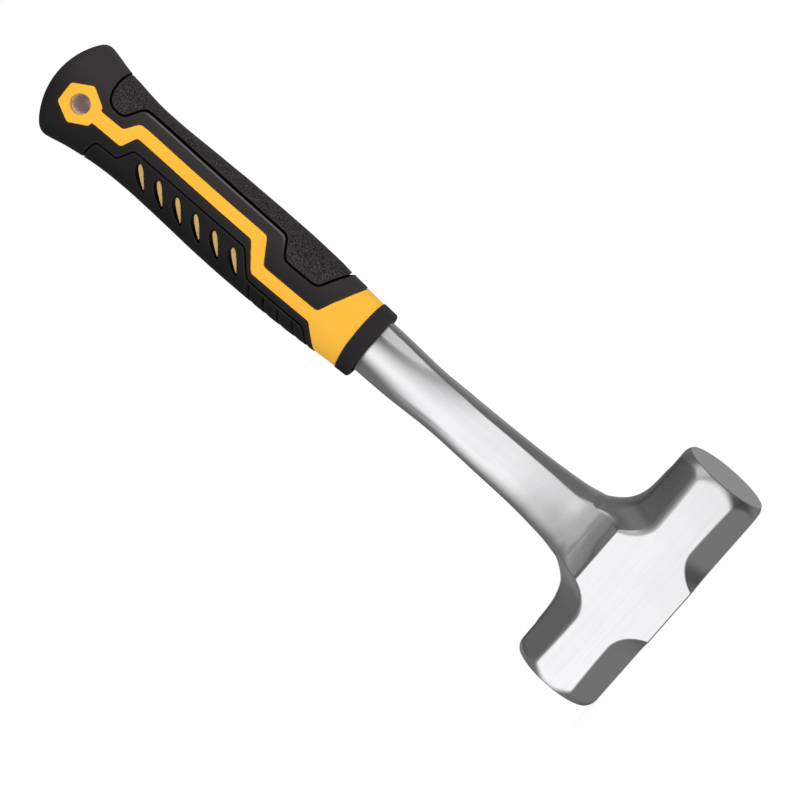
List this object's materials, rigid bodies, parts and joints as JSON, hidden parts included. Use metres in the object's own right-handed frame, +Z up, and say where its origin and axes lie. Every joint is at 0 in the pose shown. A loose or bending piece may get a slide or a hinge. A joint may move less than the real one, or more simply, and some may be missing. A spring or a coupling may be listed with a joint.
{
  "type": "sledgehammer",
  "caption": "Short hand sledge: forged steel double-faced chamfered head and shank in one piece, with a stepped two-colour moulded grip and a hang hole.",
  "frame": {"origin": "centre of the crown face, the flat side of the head opposite the handle", "axes": "+Z up the handle from the crown face to the butt; +X along the striking axis, towards the side of the grip with the grained palm pad; +Y across the cheeks, completing a right-handed frame"},
  "size_m": [0.101, 0.036, 0.3084],
  "materials": {
    "forged_steel": "ground and satin polished, bright on the cheeks and darker in the chamfers and fillets",
    "yellow_core": "warm yellow moulded plastic, smooth satin",
    "black_skin": "smooth satin black soft moulding",
    "grained_pad": "fine pebbled matte black",
    "ribbed_pad": "smooth satin black soft moulding with windows and belly grooves",
    "ring_rubber": "smooth satin black",
    "sleeve_metal": "dull grey tube wall"
  },
  "bodies": {
    "root": {"steel_forging": "forged_steel", "grip_core": "yellow_core", "grip_shell": "black_skin", "palm_pad": "grained_pad", "finger_pad": "ribbed_pad", "neck_ring": "ring_rubber", "hang_sleeve": "sleeve_metal"}
  },
  "joints": []
}
